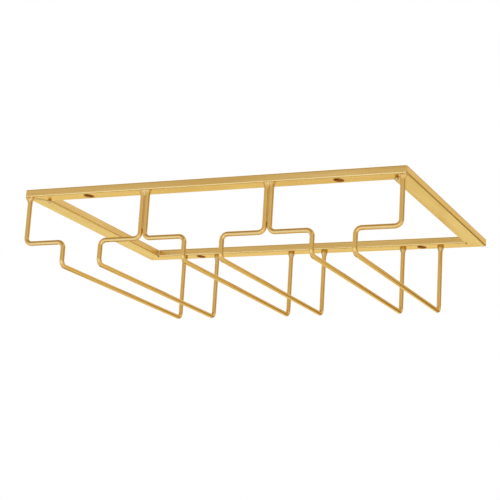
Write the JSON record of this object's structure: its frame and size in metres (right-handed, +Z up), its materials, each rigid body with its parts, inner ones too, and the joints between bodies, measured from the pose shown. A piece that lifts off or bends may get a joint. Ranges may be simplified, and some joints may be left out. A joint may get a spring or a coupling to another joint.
{
  "type": "hanging wine glass rack",
  "caption": "Metal rack fixed up under a shelf that holds stemmed glasses upside down by their feet on bent wire rails, in channels open at the front.",
  "frame": {"origin": "middle of the frame's upper plane, which lies against the underside of the shelf or cabinet", "axes": "+Z up into the shelf, -Y towards the open front where the glasses go in, +X to the right seen from the front"},
  "size_m": [0.34, 0.236, 0.069],
  "materials": {
    "frame_gold": "gold plated, brushed satin",
    "wire_gold": "gold plated, satin",
    "weld_gold": "gold plated over smooth weld metal"
  },
  "bodies": {
    "root": {"front_bar": "frame_gold", "rear_bar": "frame_gold", "left_bar": "frame_gold", "right_bar": "frame_gold", "channel_1_wire_left": "wire_gold", "channel_1_wire_right": "wire_gold", "channel_2_wire_left": "wire_gold", "channel_2_wire_right": "wire_gold", "channel_3_wire_left": "wire_gold", "channel_3_wire_right": "wire_gold", "corner_weld_front_left": "weld_gold", "corner_weld_front_right": "weld_gold", "corner_weld_rear_left": "weld_gold", "corner_weld_rear_right": "weld_gold", "front_weld_1": "weld_gold", "front_weld_2": "weld_gold", "front_weld_3": "weld_gold", "front_weld_4": "weld_gold", "channel_1_rear_weld_left": "weld_gold", "channel_1_rear_weld_right": "weld_gold", "channel_2_rear_weld_left": "weld_gold", "channel_2_rear_weld_right": "weld_gold", "channel_3_rear_weld_left": "weld_gold", "channel_3_rear_weld_right": "weld_gold"}
  },
  "joints": []
}
